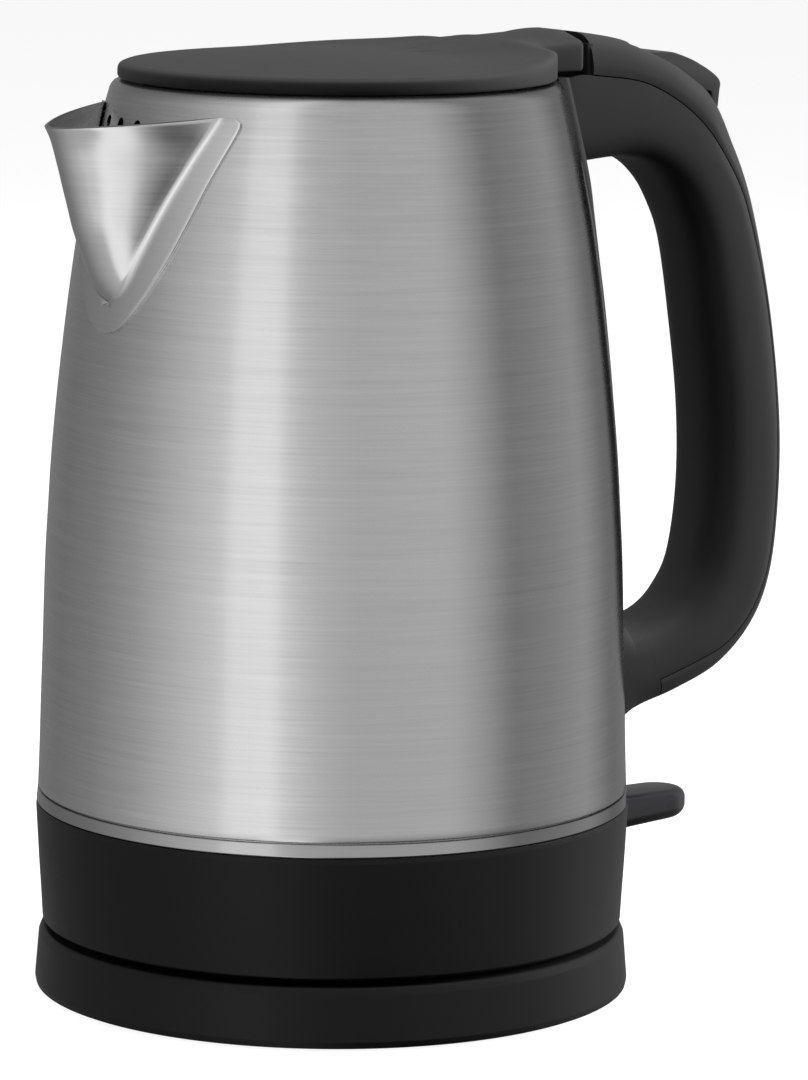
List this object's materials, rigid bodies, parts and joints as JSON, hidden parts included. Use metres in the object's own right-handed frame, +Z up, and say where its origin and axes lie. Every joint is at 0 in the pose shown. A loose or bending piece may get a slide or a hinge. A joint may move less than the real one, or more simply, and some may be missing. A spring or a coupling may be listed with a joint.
{
  "type": "electric kettle",
  "caption": "Cordless jug kettle in brushed steel with a black lid, handle and collar, a V spout, and a round power base that it lifts off.",
  "frame": {"origin": "centre of the power base's footprint, on the table", "axes": "+Z up along the jug's axis, +X towards the handle, -X towards the spout"},
  "size_m": [0.2201, 0.1508, 0.2408],
  "materials": {
    "base_plastic": "moulded black polypropylene, satin",
    "under_plastic": "moulded black polypropylene",
    "handle_inner_plastic": "moulded black polypropylene, fine texture",
    "handle_cover_plastic": "moulded charcoal polypropylene, satin",
    "lid_plastic": "moulded charcoal polypropylene, satin",
    "lever_plastic": "smoked glossy polycarbonate",
    "brushed_steel": "stainless steel brushed round the jug",
    "bright_steel": "bright satin stainless steel",
    "heater_steel": "stainless steel",
    "aluminium": "plain aluminium",
    "plated_steel": "zinc plated steel",
    "latch_plastic": "natural acetal",
    "contact_brass": "brass",
    "silicone": "silicone rubber",
    "lead_insulation": "silicone lead insulation"
  },
  "bodies": {
    "power_base": {"base_cover": "base_plastic", "base_plate": "under_plastic", "base_screws": "plated_steel", "base_feet": "silicone", "cord_gland": "under_plastic", "cord_clamp": "under_plastic", "power_leads": "lead_insulation", "base_socket": "under_plastic", "socket_contacts": "contact_brass"},
    "connector": {"contact_carrier": "under_plastic", "contact_pin": "contact_brass", "contact_ring": "contact_brass"},
    "jug": {"body_shell": "brushed_steel", "spout": "brushed_steel", "trim_ring": "bright_steel", "base_collar": "base_plastic", "underside_cover": "under_plastic", "underside_screws": "plated_steel", "heater_plate": "heater_steel", "heat_spreader": "aluminium", "heating_element": "heater_steel", "element_terminals": "plated_steel", "element_leads": "lead_insulation", "control_housing": "under_plastic", "control_bimetals": "contact_brass", "cutout_switch": "under_plastic", "handle_inner": "handle_inner_plastic", "handle_cover": "handle_cover_plastic", "handle_brackets": "plated_steel", "handle_screws": "plated_steel", "lid_hinge_pin": "plated_steel", "lid_spring": "plated_steel", "button_pin": "plated_steel", "button_spring": "plated_steel", "lever_pin": "plated_steel", "switch_bracket": "latch_plastic", "steam_bimetal": "contact_brass"},
    "lid": {"lid_top": "lid_plastic", "lid_bottom": "under_plastic", "lid_seal": "silicone"},
    "button": {"lid_button": "lid_plastic"},
    "latch": {"latch_slider": "latch_plastic"},
    "lever": {"switch_lever": "lever_plastic"}
  },
  "joints": [
    {"name": "jug_lift", "type": "slide", "parent": "power_base", "child": "connector", "axis": [0, 0, 1], "range_m": [0, 0.1]},
    {"name": "jug_swivel", "type": "hinge", "parent": "connector", "child": "jug", "pos_m": [0, 0, 0.03], "axis": [0, 0, 1], "continuous": true},
    {"name": "lid_open", "type": "hinge", "parent": "jug", "child": "lid", "pos_m": [0.0623, 0, 0.2353], "axis": [0, 1, 0], "range_deg": [0, 75]},
    {"name": "button_press", "type": "hinge", "parent": "jug", "child": "button", "pos_m": [0.093, 0, 0.228], "axis": [0, 1, 0], "range_deg": [0, 7], "stiffness_Nm_per_rad": 0.5, "springref_deg": -2.86, "deforming": ["button_spring"]},
    {"name": "latch_draw", "type": "slide", "parent": "jug", "child": "latch", "axis": [1, 0, 0], "range_m": [0, 0.0013]},
    {"name": "switch_press", "type": "hinge", "parent": "jug", "child": "lever", "pos_m": [0.074, 0, 0.0355], "axis": [0, 1, 0], "range_deg": [0, 12]}
  ],
  "couplings": [
    {"joint": "latch_draw", "follows": "button_press", "m_per_rad": 0.01064}
  ]
}
